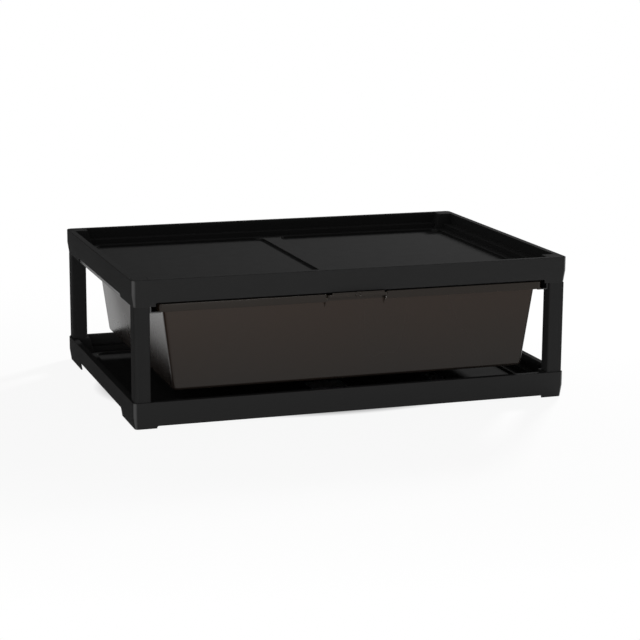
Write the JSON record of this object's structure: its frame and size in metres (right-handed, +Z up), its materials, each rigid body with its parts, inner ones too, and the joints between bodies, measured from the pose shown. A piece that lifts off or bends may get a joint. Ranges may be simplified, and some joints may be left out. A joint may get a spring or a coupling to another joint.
{
  "type": "snake breeding rack",
  "caption": "Single level of a stackable rack: two skirted trays on corner posts, with a tapered tub that slides out on runners.",
  "frame": {"origin": "middle of the plan outline, pull included, on the surface that the rack stands on", "axes": "+X to the right seen from the front, +Y to the rear, away from the tub's pull, +Z up"},
  "size_m": [0.96, 0.691, 0.31],
  "materials": {
    "tray_plastic": "fine grained moulding, satin",
    "post_plastic": "extruded, satin",
    "fitting_plastic": "moulded, satin",
    "runner_plastic": "extruded, smooth",
    "screw_steel": "zinc plated",
    "tub_plastic": "smoke brown, polished"
  },
  "bodies": {
    "frame": {"lower_tray": "tray_plastic", "upper_tray": "tray_plastic", "front_left_post": "post_plastic", "front_left_lower_plug": "fitting_plastic", "front_left_upper_plug": "fitting_plastic", "front_left_cap": "fitting_plastic", "front_right_post": "post_plastic", "front_right_lower_plug": "fitting_plastic", "front_right_upper_plug": "fitting_plastic", "front_right_cap": "fitting_plastic", "rear_left_post": "post_plastic", "rear_left_lower_plug": "fitting_plastic", "rear_left_upper_plug": "fitting_plastic", "rear_left_cap": "fitting_plastic", "rear_right_post": "post_plastic", "rear_right_lower_plug": "fitting_plastic", "rear_right_upper_plug": "fitting_plastic", "rear_right_cap": "fitting_plastic", "left_runner": "runner_plastic", "right_runner": "runner_plastic", "left_runner_screws": "screw_steel", "right_runner_screws": "screw_steel"},
    "tub": {"tub": "tub_plastic"}
  },
  "joints": [
    {"name": "tub_slide", "type": "slide", "parent": "frame", "child": "tub", "axis": [0, -1, 0], "range_m": [0, 0.45]}
  ]
}
